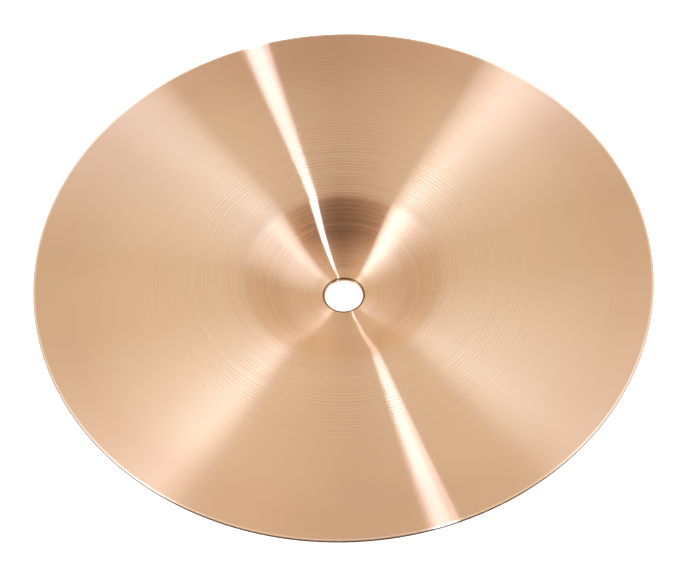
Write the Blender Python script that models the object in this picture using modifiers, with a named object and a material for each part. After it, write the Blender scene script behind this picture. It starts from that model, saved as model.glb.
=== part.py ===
# Accent cymbal: one sheet of bronze, pressed, lathed and bored, with no other piece on it.
# It lies bell down, as in the photograph, so that its hollow side faces up (+Z).
# The origin is on the axis, at the flat seat round the hole that the cymbal lies on.
import math

import bpy

# Driving sizes, in metres
DIAMETER = 0.2032        # over the rim, 8 inches
HOLE_DIAMETER = 0.0128   # clears a cymbal stand's rod with its sleeve, or a strap
SEAT_WIDTH = 0.0036      # flat ring round the hole, where the felt washers bear
BELL_DIAMETER = 0.0674   # across the edge where the bell turns into the bow, on the hollow side
BELL_DEPTH = 0.0122      # from that edge down to the seat
BELL_SAG = 0.0010        # how far the bell's wall bellies out from a straight cone
BOW_RISE = 0.0097        # from the bell's edge up to the rim
BOW_SAG = 0.0004         # how far the bow bellies out from a straight cone
SHEET_AT_BELL = 0.0011   # the bow is lathed thinner from the bell to the rim
SHEET_AT_RIM = 0.0009
SEAT_BEND = 0.0060       # radius between the seat and the bell's wall
BELL_FILLET = 0.0040     # radius over the bell's edge
HOLE_ROUND = 0.00065     # the punched hole's mouth on the hollow side
HOLE_BREAK = 0.00025     # the same edge on the bell's outer side
RIM_BREAK = 0.00025      # both edges of the rim

# How finely the turned shape is divided
TURN_STEPS = 80
BEND_POINTS = 3
WALL_POINTS = 6
FILLET_POINTS = 5
BOW_POINTS = 7
ROUND_POINTS = 3


def along(slope):
    return math.cos(slope), math.sin(slope)


def under(slope):
    """Square to the sheet, out of its lower side."""
    return math.sin(slope), -math.cos(slope)


def shifted(point, *moves):
    """The point moved by each (distance, direction) in turn."""
    r, z = point
    for distance, (dr, dz) in moves:
        r += distance * dr
        z += distance * dz
    return r, z


def sagging_arc(start, end, sag):
    """Centre and radius of the arc from start to end that dips below its chord by sag."""
    chord = math.dist(start, end)
    slope = math.atan2(end[1] - start[1], end[0] - start[0])
    radius = chord * chord / (8 * sag) + sag / 2
    middle = ((start[0] + end[0]) / 2, (start[1] + end[1]) / 2)
    return shifted(middle, (sag - radius, under(slope))), radius


def slope_between(centre, point):
    """Slope of a sheet that curls up round the centre, where it passes the point."""
    return math.atan2(point[0] - centre[0], centre[1] - point[1])


def crossing(centre_a, reach_a, centre_b, reach_b):
    """The point further from the axis at these distances from the two centres."""
    gap = math.dist(centre_a, centre_b)
    step = (gap * gap + reach_a * reach_a - reach_b * reach_b) / (2 * gap)
    half = math.sqrt(reach_a * reach_a - step * step)
    ur = (centre_b[0] - centre_a[0]) / gap
    uz = (centre_b[1] - centre_a[1]) / gap
    foot = (centre_a[0] + step * ur, centre_a[1] + step * uz)
    pair = [(foot[0] + side * half * uz, foot[1] - side * half * ur) for side in (1, -1)]
    return max(pair)


def arc_stations(centre, radius, first, last, count):
    """(point, slope) along an arc. A negative radius bends it over a centre below the sheet."""
    stations = []
    for i in range(count):
        slope = first + (last - first) * i / (count - 1)
        stations.append((shifted(centre, (radius, under(slope))), slope))
    return stations


def hollow_side():
    """(point, slope) along the hollow side, from the seat's outer edge to the rim."""
    seat_z = SHEET_AT_BELL
    bell_edge = (BELL_DIAMETER / 2, seat_z + BELL_DEPTH)
    rim = (DIAMETER / 2, bell_edge[1] + BOW_RISE)
    seat_edge = (HOLE_DIAMETER / 2 + SEAT_WIDTH, seat_z)
    wall_centre, wall_radius = sagging_arc(seat_edge, bell_edge, BELL_SAG)
    bow_centre, bow_radius = sagging_arc(bell_edge, rim, BOW_SAG)

    # The bend rolls on the flat seat, inside the wall's arc
    bend_z = seat_z + SEAT_BEND
    reach = wall_radius - SEAT_BEND
    drop = wall_centre[1] - bend_z
    bend_centre = (wall_centre[0] + math.sqrt(reach * reach - drop * drop), bend_z)
    bend_end = slope_between(wall_centre, bend_centre)

    # The fillet lies under the bell's edge, outside both arcs that it joins
    fillet_centre = crossing(
        wall_centre, wall_radius + BELL_FILLET, bow_centre, bow_radius + BELL_FILLET
    )
    wall_end = slope_between(wall_centre, fillet_centre)
    bow_start = slope_between(bow_centre, fillet_centre)
    # The bow stops where the rounded edge of its lower side reaches the rim's radius
    edge_radius = bow_radius + SHEET_AT_RIM - RIM_BREAK
    bow_end = math.asin((rim[0] - bow_centre[0]) / edge_radius)

    bend = arc_stations(bend_centre, SEAT_BEND, 0, bend_end, BEND_POINTS)
    wall = arc_stations(wall_centre, wall_radius, bend_end, wall_end, WALL_POINTS)
    fillet = arc_stations(fillet_centre, -BELL_FILLET, wall_end, bow_start, FILLET_POINTS)
    bow = arc_stations(bow_centre, bow_radius, bow_start, bow_end, BOW_POINTS)
    return bend + wall[1:-1] + fillet + bow[1:]


def sheet_at(r):
    """The sheet's thickness, which falls evenly from the bell's edge to the rim."""
    share = (r - BELL_DIAMETER / 2) / (DIAMETER / 2 - BELL_DIAMETER / 2)
    return SHEET_AT_BELL + (SHEET_AT_RIM - SHEET_AT_BELL) * min(max(share, 0), 1)


def cut_edge(corner, outward, down, sheet, upper_round, lower_round):
    """The sheet's cut edge from its upper to its lower side, with both corners rounded."""
    lower_corner = shifted(corner, (sheet, down))
    back = (-outward[0], -outward[1])
    up = (-down[0], -down[1])
    upper = shifted(corner, (upper_round, back), (upper_round, down))
    lower = shifted(lower_corner, (lower_round, back), (lower_round, up))
    turns = [math.pi / 2 * i / (ROUND_POINTS - 1) for i in range(ROUND_POINTS)]
    points = []
    for turn in turns:
        rise = upper_round * math.cos(turn)
        reach = upper_round * math.sin(turn)
        points.append(shifted(upper, (rise, up), (reach, outward)))
    for turn in turns:
        drop = lower_round * math.sin(turn)
        reach = lower_round * math.cos(turn)
        points.append(shifted(lower, (drop, down), (reach, outward)))
    return points


def cymbal_profile():
    """The sheet's section as a closed loop: out along the top, over the rim and back below."""
    stations = hollow_side()
    rim_point, rim_slope = stations[-1]
    rim_edge = cut_edge(
        rim_point, along(rim_slope), under(rim_slope), SHEET_AT_RIM, RIM_BREAK, RIM_BREAK
    )
    hole_point = (HOLE_DIAMETER / 2, SHEET_AT_BELL)
    hole_edge = cut_edge(
        hole_point, (-1, 0), (0, -1), SHEET_AT_BELL, HOLE_ROUND, HOLE_BREAK
    )
    # The rim's rounded edge takes the place of each side's last point
    upper = [point for point, slope in stations[:-1]]
    lower = [shifted(point, (sheet_at(point[0]), under(slope))) for point, slope in stations[:-1]]
    return upper + rim_edge + lower[::-1] + hole_edge[::-1]


def bronze():
    """Lathed tin bronze: a warm pink gold, with the lathe's fine lines dulling its shine."""
    material = bpy.data.materials.new("lathed_bronze")
    material.use_nodes = True
    shader = material.node_tree.nodes["Principled BSDF"]
    shader.inputs["Base Color"].default_value = (0.83, 0.56, 0.36, 1)
    shader.inputs["Metallic"].default_value = 1
    shader.inputs["Roughness"].default_value = 0.3
    material.diffuse_color = (0.83, 0.56, 0.36, 1)
    return material


def turned(name, profile, collection):
    """A round solid: the closed profile, drawn at +X, turned about Z."""
    mesh = bpy.data.meshes.new(name)
    edges = [(i, (i + 1) % len(profile)) for i in range(len(profile))]
    mesh.from_pydata([(r, 0, z) for r, z in profile], edges, [])
    solid = bpy.data.objects.new(name, mesh)
    collection.objects.link(solid)
    screw = solid.modifiers.new("turn", "SCREW")
    screw.axis = "Z"
    screw.steps = TURN_STEPS
    screw.render_steps = TURN_STEPS
    screw.use_merge_vertices = True
    screw.merge_threshold = 0.00001
    screw.use_smooth_shade = True
    return solid


def build():
    for old in list(bpy.data.objects):
        bpy.data.objects.remove(old)
    parts = bpy.data.collections.new("accent_cymbal")
    bpy.context.scene.collection.children.link(parts)
    cymbal = turned("cymbal", cymbal_profile(), parts)
    cymbal.data.materials.append(bronze())


build()
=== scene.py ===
import math
import random

import bpy
from mathutils import Matrix, Vector


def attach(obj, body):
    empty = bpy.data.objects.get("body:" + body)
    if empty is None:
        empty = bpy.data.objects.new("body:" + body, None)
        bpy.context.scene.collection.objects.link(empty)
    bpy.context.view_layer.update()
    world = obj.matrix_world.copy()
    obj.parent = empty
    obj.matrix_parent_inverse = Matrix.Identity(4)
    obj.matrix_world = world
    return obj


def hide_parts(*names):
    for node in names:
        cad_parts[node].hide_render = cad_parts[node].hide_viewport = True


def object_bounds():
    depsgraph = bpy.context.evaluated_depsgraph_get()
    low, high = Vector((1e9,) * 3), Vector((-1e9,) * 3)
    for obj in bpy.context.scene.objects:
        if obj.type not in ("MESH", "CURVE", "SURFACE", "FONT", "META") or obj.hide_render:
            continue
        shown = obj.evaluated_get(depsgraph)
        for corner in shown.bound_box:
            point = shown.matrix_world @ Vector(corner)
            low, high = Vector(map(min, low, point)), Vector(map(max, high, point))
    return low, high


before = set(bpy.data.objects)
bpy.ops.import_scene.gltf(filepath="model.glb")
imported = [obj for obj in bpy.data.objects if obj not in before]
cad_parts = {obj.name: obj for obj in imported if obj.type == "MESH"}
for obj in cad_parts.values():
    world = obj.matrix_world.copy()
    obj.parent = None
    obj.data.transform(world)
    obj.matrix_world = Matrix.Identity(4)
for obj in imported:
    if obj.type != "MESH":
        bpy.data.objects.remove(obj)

cadBounds = [list(corner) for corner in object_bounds()]
mm = 0.001


def hexToLinear(hexColour):
    # sRGB hex to the linear colour that the sockets take
    def channel(value):
        return value / 12.92 if value <= 0.04045 else ((value + 0.055) / 1.055) ** 2.4
    digits = hexColour.lstrip("#")
    return tuple(channel(int(digits[i:i + 2], 16) / 255) for i in (0, 2, 4)) + (1.0,)


def addNode(tree, kind, settings=None, values=None, links=None):
    # one node with its settings, its plain values and the links into it
    node = tree.nodes.new(kind)
    for name, value in (settings or {}).items():
        setattr(node, name, value)
    for socket, value in (values or {}).items():
        node.inputs[socket].default_value = value
    for socket, source in (links or {}).items():
        tree.links.new(source, node.inputs[socket])
    return node


def fillRamp(ramp, stops):
    # each stop is a place and a grey value or a hex colour
    elements = ramp.color_ramp.elements
    while len(elements) < len(stops):
        elements.new(1.0)
    for element, (place, tone) in zip(elements, stops):
        element.position = place
        element.color = hexToLinear(tone) if isinstance(tone, str) else (tone, tone, tone, 1)


def emptyMaterial(name):
    material = bpy.data.materials.new(name)
    material.use_nodes = True
    material.node_tree.nodes.clear()
    return material


def hang(name, data):
    held = bpy.data.objects.new(name, data)
    bpy.context.scene.collection.objects.link(held)
    return held


# Camera: aimed at a point near the middle of the rim's plane
camera = {
    "distance": 480 * mm,
    "elevation": 55.36,      # degrees above the rim's plane
    "roll": -2.49,           # the photographer's slight tilt
    "aim": (0.18 * mm, -12.03 * mm),
    "focal": 77.4,
    "sensor": 36,            # mm, which focal goes with
    "sight": (0.01, 20),     # nearest and farthest distance seen
}


def placeCamera():
    print("camera")
    data = bpy.data.cameras.new("camera")
    data.sensor_width = camera["sensor"]
    data.lens = camera["focal"]
    data.clip_start, data.clip_end = camera["sight"]
    held = hang("camera", data)
    tilt = math.radians(camera["elevation"])
    roll = math.radians(camera["roll"])
    back = Vector((0, -math.cos(tilt), math.sin(tilt)))
    level = Vector((1, 0, 0))
    upright = Vector((0, math.sin(tilt), math.cos(tilt)))
    right = math.cos(roll) * level + math.sin(roll) * upright
    up = -math.sin(roll) * level + math.cos(roll) * upright
    aim = Vector((*camera["aim"], cadBounds[1][2]))
    turn = Matrix((right, up, back)).transposed().to_4x4()
    held.matrix_world = Matrix.Translation(aim + back * camera["distance"]) @ turn
    bpy.context.scene.camera = held


# The cymbal's section, with the CAD's diameters, total height and thickness
cymbal = {
    "radius": 101.6 * mm,
    "holeRadius": 6.4 * mm,
    "bellRadius": 33.7 * mm,
    "sheetAtBell": 1.1 * mm,
    "sheetAtRim": 0.9 * mm,
    "holeRound": 0.65 * mm,
    "holeBreak": 0.25 * mm,
    "rimBreak": 0.25 * mm,
    "edgeSteps": 6,              # along each rounded corner of a cut edge
    "turnSteps": 200,            # round the axis
    "outerSteps": 6,             # times as long on the outer side, which is plain
}
# The hollow side from the flat seat to the rim. Each row is a distance from the axis in mm,
# the slope there in degrees, and the length in mm of the mesh's steps on the way there.
hollowSide = [
    (10.0, 0.0, 0.3),
    (11.5, 13.9, 0.3),
    (16.0, 19.5, 0.3),
    (23.0, 37.0, 0.3),
    (30.0, 32.3, 0.3),
    (32.3, 28.0, 0.25),
    (33.0, 22.8, 0.2),           # the bell's edge
    (33.9, 14.5, 0.2),
    (34.5, 16.5, 0.15),          # a small ridge where the bell's cuts meet the bow's
    (35.1, 8.5, 0.15),
    (35.6, 7.2, 0.15),
    (36.4, 8.7, 0.19),
    (38.0, 8.62, 0.19),
    (44.0, 6.82, 0.19),
    (52.0, 5.42, 0.19),
    (64.0, 5.32, 0.2),
    (80.0, 8.52, 0.32),
    (88.0, 11.32, 0.32),
    (95.0, 12.52, 0.35),
    (101.45, 12.62, 0.4),
]
# The lathe's rings: pitch, where they begin and end, and how deep they are cut
rings = [
    {"pitch": 1.7 * mm, "start": 11 * mm, "end": 22 * mm, "depth": 0.016 * mm},
    {"pitch": 1.3 * mm, "start": 20 * mm, "end": 34 * mm, "depth": 0.023 * mm},
    {"pitch": 1.05 * mm, "start": 34 * mm, "end": 46 * mm, "depth": 0.055 * mm},
    {"pitch": 1.28 * mm, "start": 43 * mm, "end": 64 * mm, "depth": 0.058 * mm},
    {"pitch": 1.6 * mm, "start": 61 * mm, "end": 99 * mm, "depth": 0.022 * mm},
]
# One cut in the bell went deeper than the rest: its inner and outer edge and its depth
deepCut = (25.0 * mm, 26.6 * mm, 0.055 * mm)
ringFade = 3 * mm                # over which a band of rings runs in and out
unevenPitch = 0.15               # the tool is moved by hand, so no two rings are quite alike
unevenDepth = 0.45
ringSeed = 8


def shifted(point, *moves):
    r, z = point
    for distance, (dr, dz) in moves:
        r += distance * dr
        z += distance * dz
    return r, z


def under(slope):
    return math.sin(slope), -math.cos(slope)


def sideStations(coarser):
    # points and slopes along the hollow side; its rows are joined by arcs that meet at tangents
    r, slope = hollowSide[0][0] * mm, 0.0
    z = cymbal["sheetAtBell"]
    stations = [((r, z), slope)]
    for (start, first, _), (end, last, step) in zip(hollowSide, hollowSide[1:]):
        first, last = math.sin(math.radians(first)), math.sin(math.radians(last))
        count = math.ceil((end - start) / (step * coarser))
        for i in range(1, count + 1):
            nextR = (start + (end - start) * i / count) * mm
            nextSlope = math.asin(first + (last - first) * i / count)
            z += (nextR - r) * math.tan((slope + nextSlope) / 2)
            r, slope = nextR, nextSlope
            stations.append(((r, z), slope))
    return stations


def cutRings():
    # inner and outer edge and depth of each ring
    dice = random.Random(ringSeed)
    cuts = [deepCut]
    for band in rings:
        inner = band["start"]
        while inner < band["end"]:
            outer = inner + band["pitch"] * dice.uniform(1 - unevenPitch, 1 + unevenPitch)
            fade = min(1, (outer - band["start"]) / ringFade, (band["end"] - inner) / ringFade)
            depth = band["depth"] * fade * dice.uniform(1 - unevenDepth, 1 + unevenDepth)
            cuts.append((inner, outer, depth))
            inner = outer
    return cuts


def ringDepth(r, cuts):
    # how far the rings lower the hollow side at this radius
    return sum(depth * (1 - math.cos(math.tau * (r - inner) / (outer - inner))) / 2
               for inner, outer, depth in cuts if inner < r < outer)


def sheetAt(r):
    share = (r - cymbal["bellRadius"]) / (cymbal["radius"] - cymbal["bellRadius"])
    thinning = cymbal["sheetAtRim"] - cymbal["sheetAtBell"]
    return cymbal["sheetAtBell"] + thinning * min(max(share, 0), 1)


def cutEdge(corner, outward, down, sheet, upperRound, lowerRound):
    # the sheet's cut edge from its upper to its lower side, with both corners rounded
    lowerCorner = shifted(corner, (sheet, down))
    back = (-outward[0], -outward[1])
    up = (-down[0], -down[1])
    upper = shifted(corner, (upperRound, back), (upperRound, down))
    lower = shifted(lowerCorner, (lowerRound, back), (lowerRound, up))
    steps = cymbal["edgeSteps"]
    turns = [math.pi / 2 * i / steps for i in range(steps + 1)]
    points = []
    for turn in turns:
        rise = upperRound * math.cos(turn)
        reach = upperRound * math.sin(turn)
        points.append(shifted(upper, (rise, up), (reach, outward)))
    for turn in turns:
        drop = lowerRound * math.sin(turn)
        reach = lowerRound * math.cos(turn)
        points.append(shifted(lower, (drop, down), (reach, outward)))
    return points


def section():
    # the closed outline of the sheet: out along the hollow side, over the rim and back below
    c = cymbal
    cuts = cutRings()
    hollow = sideStations(1)
    outer = sideStations(c["outerSteps"])
    rimPoint, rimSlope = hollow[-1]
    outward = (math.cos(rimSlope), math.sin(rimSlope))
    rimBreak = c["rimBreak"]
    rimEdge = cutEdge(rimPoint, outward, under(rimSlope), c["sheetAtRim"], rimBreak, rimBreak)
    seatZ = c["sheetAtBell"]
    holeEdge = cutEdge((c["holeRadius"], seatZ), (-1, 0), (0, -1), seatZ, c["holeRound"], c["holeBreak"])
    top = [shifted(point, (ringDepth(point[0], cuts), under(slope))) for point, slope in hollow[:-1]]
    bottom = [shifted(point, (sheetAt(point[0]), under(slope))) for point, slope in outer[:-1]]
    return top + rimEdge + bottom[::-1] + holeEdge[::-1]


def turnCymbal():
    print("cymbal")
    outline = section()
    steps = cymbal["turnSteps"]
    count = len(outline)
    points = []
    for i in range(steps):
        turn = math.tau * i / steps
        points += [(r * math.cos(turn), r * math.sin(turn), z) for r, z in outline]
    faces = []
    for i in range(steps):
        here = i * count
        there = (i + 1) % steps * count
        for j in range(count):
            k = (j + 1) % count
            faces.append((here + j, here + k, there + k, there + j))
    mesh = bpy.data.meshes.new("cymbal_lathed")
    mesh.from_pydata(points, [], faces)
    mesh.shade_smooth()
    return hang("cymbal_lathed", mesh)


# Tin bronze, cut on a lathe and left bare: copper's pink pulled to gold by the tin
bronze = {
    # sheet colour by distance from the axis: pinker in the bell, duller towards the rim
    "sheetColours": [(9.2 * mm, "#E7C5A0"), (10.4 * mm, "#E7C5A3"), (17 * mm, "#E9C6A3"),
                     (24 * mm, "#EDC9A4"), (31 * mm, "#ECC8A3"), (34.5 * mm, "#E7C8A8"),
                     (41 * mm, "#EBCEAE"), (52 * mm, "#EBCEAE"), (66 * mm, "#EACCAC"),
                     (78 * mm, "#E7C9A9"), (92 * mm, "#E3C2A3"), (102 * mm, "#E3C2A3")],
    "rimHighlightColour": "#F6DFC8",    # painted highlight along the rim's rounded corner, where it catches the light
    "rimHighlightRadius": 100.8 * mm,
    "edgeShadeColour": "#4A3424",      # painted shade on the rim's cut edge, dark brown
    "edgeRadius": 101.46 * mm,
    "mouthColour": "#846543",     # the hole's rounded mouth, dark brown
    "mouthRadius": 7.25 * mm,
    "mouthBottom": 0.95 * mm,     # under it the hole's wall keeps the sheet's colour
    "spotPlace": (-76.6 * mm, -36.4 * mm, 18.9 * mm),     # one small spot of tarnish on the bow
    "spotSize": 1.0 * mm,
    "spotShade": 0.86,
    "linePitch": 0.9 * mm,        # some of the tool's marks are a little brighter than others
    "lineDetail": 3.0,
    "lineRoughness": 0.7,
    "lineContrast": 0.055,
    "lastGroove": 64 * mm,        # beyond it the tool's marks are fainter
    "outerLines": 0.3,            # how strong they still are there
    "stainSize": 45 * mm,
    "stainDetail": 2.0,
    "stainSpan": (0.3, 0.7),      # the noise's values where stains begin and are full
    "stainContrast": 0.05,
    "broadRoughness": 0.356,      # the soft shine beside each streak
    "sharpRoughness": 0.167,      # the streaks themselves
    "sharpAnisotropy": 0.93,
    "innerShare": 0.86,           # share of the streaks' shine, which is cleaner near the rim
    "outerShare": 1.0,
    "shareSpan": (56 * mm, 90 * mm),
    "aroundAxis": 0.25,           # a quarter turn, so that the shine crosses the lathe's lines
    "latheCentre": (0.5 * mm, 0.15 * mm),     # the streaks meet here, just off the hole's middle
}


def lathedBronze():
    # the lathe's lines run round the axis, so each light is drawn out into a streak across them
    material = emptyMaterial("lathed_bronze")
    tree = material.node_tree
    place = addNode(tree, "ShaderNodeTexCoord")
    spoke = addNode(tree, "ShaderNodeVectorMath", {"operation": "SUBTRACT"},
                    {1: (*bronze["latheCentre"], 0)}, {0: place.outputs["Object"]})
    circle = addNode(tree, "ShaderNodeVectorMath", {"operation": "CROSS_PRODUCT"}, {0: (0, 0, 1)},
                     {1: spoke.outputs[0]})
    around = addNode(tree, "ShaderNodeVectorTransform",
                     {"vector_type": "VECTOR", "convert_from": "OBJECT", "convert_to": "WORLD"}, None,
                     {0: circle.outputs[0]})
    flat = addNode(tree, "ShaderNodeVectorMath", {"operation": "MULTIPLY"}, {1: (1, 1, 0)},
                   {0: place.outputs["Object"]})
    length = addNode(tree, "ShaderNodeVectorMath", {"operation": "LENGTH"}, None, {0: flat.outputs[0]})
    radius = length.outputs["Value"]
    height = addNode(tree, "ShaderNodeSeparateXYZ", None, None, {0: place.outputs["Object"]})
    smooth = {"interpolation_type": "SMOOTHSTEP"}
    times = {"operation": "MULTIPLY"}
    colours = {"data_type": "RGBA"}      # a mix of colours takes them at its sockets 6 and 7
    crisp = 0.1 * mm                     # half the width over which one colour turns into the next

    # the sheet's colour from the seat to the rim
    lastRadius = bronze["sheetColours"][-1][0]
    share = addNode(tree, "ShaderNodeMapRange", None, {"From Max": lastRadius}, {"Value": radius})
    sheet = addNode(tree, "ShaderNodeValToRGB", None, None, {0: share.outputs[0]})
    fillRamp(sheet, [(r / lastRadius, colour) for r, colour in bronze["sheetColours"]])

    # tool marks: some rings a little brighter than others
    last = bronze["lastGroove"]
    cut = addNode(tree, "ShaderNodeMapRange", smooth,
                  {"From Min": last - ringFade, "From Max": last + ringFade,
                   "To Min": 1.0, "To Max": bronze["outerLines"]}, {"Value": radius})
    marks = addNode(tree, "ShaderNodeTexNoise", {"noise_dimensions": "1D"},
                    {"Scale": 1 / bronze["linePitch"], "Detail": bronze["lineDetail"],
                     "Roughness": bronze["lineRoughness"]}, {"W": radius})
    contrast = addNode(tree, "ShaderNodeMapRange", None,
                       {"To Min": bronze["lineContrast"], "To Max": -bronze["lineContrast"]},
                       {"Value": marks.outputs[0]})
    mark = addNode(tree, "ShaderNodeMath", times, None, {0: contrast.outputs[0], 1: cut.outputs[0]})
    lines = addNode(tree, "ShaderNodeMath", {"operation": "ADD"}, {0: 1.0}, {1: mark.outputs[0]})

    # handling: broad faint stains, and one small spot
    stain = addNode(tree, "ShaderNodeTexNoise", None,
                    {"Scale": 1 / bronze["stainSize"], "Detail": bronze["stainDetail"]},
                    {"Vector": place.outputs["Object"]})
    start, end = bronze["stainSpan"]
    faint = addNode(tree, "ShaderNodeMapRange", smooth,
                    {"From Min": start, "From Max": end, "To Min": 1.0,
                     "To Max": 1 - bronze["stainContrast"]}, {"Value": stain.outputs[0]})
    away = addNode(tree, "ShaderNodeVectorMath", {"operation": "DISTANCE"},
                   {1: bronze["spotPlace"]}, {0: place.outputs["Object"]})
    spot = addNode(tree, "ShaderNodeMapRange", smooth,
                   {"From Max": bronze["spotSize"], "To Min": bronze["spotShade"]},
                   {"Value": away.outputs["Value"]})
    handled = addNode(tree, "ShaderNodeMath", times, None, {0: faint.outputs[0], 1: spot.outputs[0]})
    shade = addNode(tree, "ShaderNodeMath", times, None, {0: lines.outputs[0], 1: handled.outputs[0]})
    marked = addNode(tree, "ShaderNodeVectorMath", {"operation": "SCALE"}, None,
                     {0: sheet.outputs[0], "Scale": shade.outputs[0]})

    # painted highlight on the rim's corner, and painted shade on its cut edge
    corner = addNode(tree, "ShaderNodeMapRange", smooth,
                     {"From Min": bronze["rimHighlightRadius"] - crisp,
                      "From Max": bronze["rimHighlightRadius"] + crisp}, {"Value": radius})
    withRimHighlight = addNode(tree, "ShaderNodeMix", colours, {7: hexToLinear(bronze["rimHighlightColour"])},
                     {0: corner.outputs[0], 6: marked.outputs[0]})
    outside = addNode(tree, "ShaderNodeMapRange", smooth,
                      {"From Min": bronze["edgeRadius"] - crisp / 2,
                       "From Max": bronze["edgeRadius"] + crisp / 2}, {"Value": radius})
    rim = addNode(tree, "ShaderNodeMix", colours, {7: hexToLinear(bronze["edgeShadeColour"])},
                  {0: outside.outputs[0], 6: withRimHighlight.outputs[2]})

    # the dark mouth of the hole
    inside = addNode(tree, "ShaderNodeMapRange", smooth,
                     {"From Min": bronze["mouthRadius"] + crisp,
                      "From Max": bronze["mouthRadius"] - crisp}, {"Value": radius})
    above = addNode(tree, "ShaderNodeMapRange", smooth,
                    {"From Min": bronze["mouthBottom"] - crisp,
                     "From Max": bronze["mouthBottom"] + crisp}, {"Value": height.outputs["Z"]})
    mouth = addNode(tree, "ShaderNodeMath", times, None, {0: inside.outputs[0], 1: above.outputs[0]})
    colour = addNode(tree, "ShaderNodeMix", colours, {7: hexToLinear(bronze["mouthColour"])},
                     {0: mouth.outputs[0], 6: rim.outputs[2]})

    broad = addNode(tree, "ShaderNodeBsdfPrincipled", None,
                    {"Metallic": 1.0, "Roughness": bronze["broadRoughness"], "Anisotropic": 1.0,
                     "Anisotropic Rotation": bronze["aroundAxis"]},
                    {"Base Color": colour.outputs[2], "Tangent": around.outputs[0]})
    sharp = addNode(tree, "ShaderNodeBsdfAnisotropic", None,
                    {"Roughness": bronze["sharpRoughness"], "Anisotropy": bronze["sharpAnisotropy"]},
                    {"Color": colour.outputs[2], "Tangent": around.outputs[0]})
    start, end = bronze["shareSpan"]
    polish = addNode(tree, "ShaderNodeMapRange", smooth,
                     {"From Min": start, "From Max": end, "To Min": bronze["innerShare"],
                      "To Max": bronze["outerShare"]}, {"Value": radius})
    both = addNode(tree, "ShaderNodeMixShader", None, None,
                   {0: polish.outputs[0], 1: broad.outputs[0], 2: sharp.outputs[0]})
    addNode(tree, "ShaderNodeOutputMaterial", None, None, {"Surface": both.outputs[0]})
    return material


# Lights. A light draws a streak on the lathed bronze along one line through the hole.
# streak is that line's bearing in degrees, round from +X, and reach is how far out along
# it the light hangs. side is where the light's body lies from that line, fade its
# brightness from its front edge to its back, and inner the share of it at its near end.
softboxes = [
    {"name": "left_softbox", "streak": 237.9, "reach": 0.95, "side": 1, "distance": 1.0,
     "size": (0.95, 1.05), "glow": 5.36, "colour": "#C9DAFF", "inner": 0.62,
     "fade": [(0.0, 0.16), (0.12, 1.0), (0.3, 0.58), (0.5, 0.35), (0.8, 0.0), (1.0, 0.0)]},
    {"name": "right_softbox", "streak": 305.7, "reach": 0.95, "side": -1, "distance": 1.0,
     "size": (0.95, 1.05), "glow": 2.15, "colour": "#C2D7FF", "inner": 1.39,
     "fade": [(0.0, 0.0), (0.06, 0.55), (0.17, 1.0), (0.42, 0.70), (0.72, 0.42), (1.0, 0.06)]},
    {"name": "upper_strip", "streak": 286.15, "reach": 0.65, "side": 0, "distance": 0.64,
     "size": (0.028, 0.196), "glow": 7.3, "colour": "#C8D4FF", "inner": 1.0, "fade": None},
    {"name": "lower_strip", "streak": 286.15, "reach": 1.03, "side": 0, "distance": 0.64,
     "size": (0.053, 0.346), "glow": 8.7, "colour": "#C8D4FF", "inner": 1.0, "fade": None},
]


def bearing(streak, reach):
    # direction from the cymbal to a light, from its streak and its reach
    turn = math.radians(streak)
    x = reach * math.cos(turn)
    y = math.cos(math.radians(camera["elevation"])) + reach * math.sin(turn)
    return Vector((x, y, math.sqrt(1 - x * x - y * y)))


def fadeAcross(data, box):
    # a softbox whose lamp stands at its front edge fades towards its back
    data.use_nodes = True
    tree = data.node_tree
    place = addNode(tree, "ShaderNodeNewGeometry")
    across = addNode(tree, "ShaderNodeSeparateXYZ", None, None, {0: place.outputs["Parametric"]})
    front = 0.5 - box["side"] / 2
    back = addNode(tree, "ShaderNodeMapRange", None, {"To Min": front, "To Max": 1 - front},
                   {"Value": across.outputs["X"]})
    fade = addNode(tree, "ShaderNodeValToRGB", None, None, {0: back.outputs[0]})
    fillRamp(fade, box["fade"])
    outwards = addNode(tree, "ShaderNodeMapRange", None, {"To Min": box["inner"]},
                       {"Value": across.outputs["Y"]})
    glow = addNode(tree, "ShaderNodeMath", {"operation": "MULTIPLY"}, None,
                   {0: fade.outputs[0], 1: outwards.outputs[0]})
    emission = [node for node in tree.nodes if node.type == "EMISSION"][0]
    tree.links.new(glow.outputs[0], emission.inputs["Strength"])


def hangSoftboxes():
    print("softboxes")
    nudge = 0.05             # in reach, to find which way the streak runs
    middle = Vector((0, 0, cadBounds[1][2]))
    for box in softboxes:
        data = bpy.data.lights.new(box["name"], "AREA")
        data.shape = "RECTANGLE"
        data.size, data.size_y = box["size"]
        data.color = hexToLinear(box["colour"])[:3]
        data.energy = box["glow"] * math.pi * data.size * data.size_y
        if box["fade"]:
            fadeAcross(data, box)
        lamp = hang(box["name"], data)
        lamp.visible_camera = False
        towards = bearing(box["streak"], box["reach"])
        outer = bearing(box["streak"], box["reach"] + nudge)
        inner = bearing(box["streak"], box["reach"] - nudge)
        upright = (outer - inner - towards * (outer - inner).dot(towards)).normalized()
        sideways = upright.cross(towards)
        turn = Matrix((sideways, upright, towards)).transposed().to_4x4()
        place = middle + towards * box["distance"] + sideways * box["side"] * data.size / 2
        lamp.matrix_world = Matrix.Translation(place) @ turn


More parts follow.
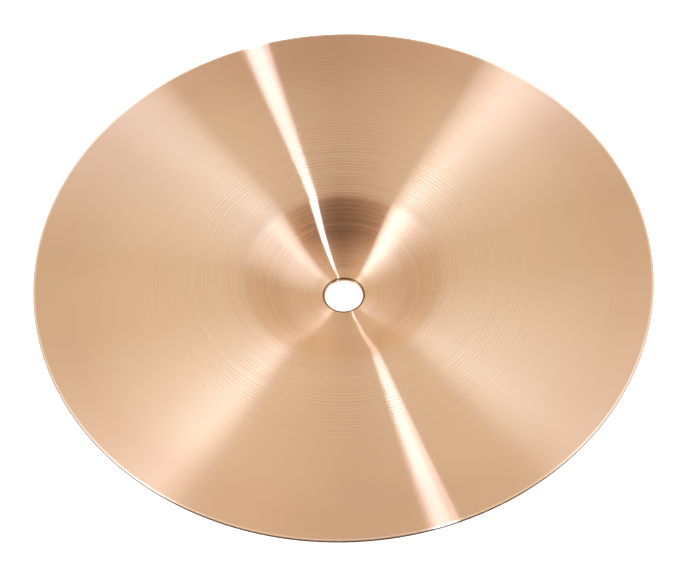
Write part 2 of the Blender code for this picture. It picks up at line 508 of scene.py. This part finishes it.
# The room: bright above and beyond the cymbal, dark behind the camera, and warm
room = {
    "tones": [(0.0, "#000000"), (0.2, "#6A362B"), (0.4, "#F4BA80"), (0.55, "#F4F9FD"),
              (0.75, "#D2C0AD"), (1.0, "#F9EDE0")],     # from behind the camera to beyond the cymbal
    "toneSpan": (-0.4, 0.8),
    "sideLift": 0.645,               # the dark is narrow, straight behind the camera
    "low": (0.05, 0.92),             # height and strength of the light near the floor
    "high": (0.42, 1.35),            # and of the light overhead
    "middleSpan": (0.25, 0.47),      # from the middle to the sides, where the light is weaker
    "sideStrength": 0.63,
    "horizon": 0.05,                 # mirrored rays that go lower see the white page
}
# Matt white paper, lit so brightly that the camera sees it as pure white
paper = {
    "colour": "#F0F0F0",
    "lift": 0.8,                     # added for the camera and for mirrored rays
    "half": 2.0,
    "drop": 0.2 * mm,                # under the cymbal, clear of its seat
}


def studioWorld():
    print("room")
    world = bpy.data.worlds.new("studio")
    bpy.context.scene.world = world
    world.use_nodes = True
    tree = world.node_tree
    tree.nodes.clear()
    direction = addNode(tree, "ShaderNodeTexCoord")
    axes = addNode(tree, "ShaderNodeSeparateXYZ", None, None, {0: direction.outputs["Generated"]})
    sides = addNode(tree, "ShaderNodeMath", {"operation": "ABSOLUTE"}, None, {0: axes.outputs["X"]})
    beyond = addNode(tree, "ShaderNodeMath", {"operation": "MULTIPLY_ADD"}, {1: room["sideLift"]},
                     {0: sides.outputs[0], 2: axes.outputs["Y"]})
    start, end = room["toneSpan"]
    share = addNode(tree, "ShaderNodeMapRange", None, {"From Min": start, "From Max": end},
                    {"Value": beyond.outputs[0]})
    tint = addNode(tree, "ShaderNodeValToRGB", None, None, {0: share.outputs[0]})
    fillRamp(tint, room["tones"])
    (floorHeight, floorStrength), (topHeight, topStrength) = room["low"], room["high"]
    above = addNode(tree, "ShaderNodeMapRange", {"interpolation_type": "SMOOTHSTEP"},
                    {"From Min": floorHeight, "From Max": topHeight,
                     "To Min": floorStrength, "To Max": topStrength}, {"Value": axes.outputs["Z"]})
    start, end = room["middleSpan"]
    middle = addNode(tree, "ShaderNodeMapRange", {"interpolation_type": "SMOOTHSTEP"},
                     {"From Min": start, "From Max": end, "To Min": 1.0,
                      "To Max": room["sideStrength"]}, {"Value": sides.outputs[0]})
    level = addNode(tree, "ShaderNodeMath", {"operation": "MULTIPLY"}, None,
                    {0: above.outputs[0], 1: middle.outputs[0]})
    walls = addNode(tree, "ShaderNodeBackground", None, None,
                    {"Color": tint.outputs[0], "Strength": level.outputs[0]})
    page = addNode(tree, "ShaderNodeBackground", None, {"Color": (1, 1, 1, 1), "Strength": 1.0})
    # the page is seen by the camera, and low down in metal and through glass
    path = addNode(tree, "ShaderNodeLightPath")
    larger = {"operation": "MAXIMUM"}
    mirrored = addNode(tree, "ShaderNodeMath", larger, None,
                       {0: path.outputs["Is Glossy Ray"], 1: path.outputs["Is Transmission Ray"]})
    downwards = addNode(tree, "ShaderNodeMath", {"operation": "LESS_THAN"}, {1: room["horizon"]},
                        {0: axes.outputs["Z"]})
    lowRay = addNode(tree, "ShaderNodeMath", {"operation": "MULTIPLY"}, None,
                     {0: mirrored.outputs[0], 1: downwards.outputs[0]})
    seen = addNode(tree, "ShaderNodeMath", larger, None,
                   {0: path.outputs["Is Camera Ray"], 1: lowRay.outputs[0]})
    mix = addNode(tree, "ShaderNodeMixShader", None, None,
                  {0: seen.outputs[0], 1: walls.outputs[0], 2: page.outputs[0]})
    addNode(tree, "ShaderNodeOutputWorld", None, None, {"Surface": mix.outputs[0]})


def layPaper():
    print("paper floor")
    mesh = bpy.data.meshes.new("floor")
    h = paper["half"]
    mesh.from_pydata([(-h, -h, 0), (h, -h, 0), (h, h, 0), (-h, h, 0)], [], [(0, 1, 2, 3)])
    floor = hang("floor", mesh)
    floor.location.z = -paper["drop"]
    material = emptyMaterial("matt_white_paper")
    tree = material.node_tree
    sheet = addNode(tree, "ShaderNodeBsdfDiffuse", None, {"Color": hexToLinear(paper["colour"])})
    lift = addNode(tree, "ShaderNodeEmission", None, {"Color": (1, 1, 1, 1), "Strength": paper["lift"]})
    both = addNode(tree, "ShaderNodeAddShader", None, None, {0: sheet.outputs[0], 1: lift.outputs[0]})
    path = addNode(tree, "ShaderNodeLightPath")
    larger = {"operation": "MAXIMUM"}
    mirrored = addNode(tree, "ShaderNodeMath", larger, None,
                       {0: path.outputs["Is Glossy Ray"], 1: path.outputs["Is Transmission Ray"]})
    seen = addNode(tree, "ShaderNodeMath", larger, None,
                   {0: path.outputs["Is Camera Ray"], 1: mirrored.outputs[0]})
    mix = addNode(tree, "ShaderNodeMixShader", None, None,
                  {0: seen.outputs[0], 1: sheet.outputs[0], 2: both.outputs[0]})
    addNode(tree, "ShaderNodeOutputMaterial", None, None, {"Surface": mix.outputs[0]})
    floor.data.materials.append(material)


placeCamera()
piece = turnCymbal()
piece.data.materials.append(lathedBronze())
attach(piece, "root")
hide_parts("cymbal")
hangSoftboxes()
studioWorld()
layPaper()
bpy.context.scene.view_settings.view_transform = "Standard"
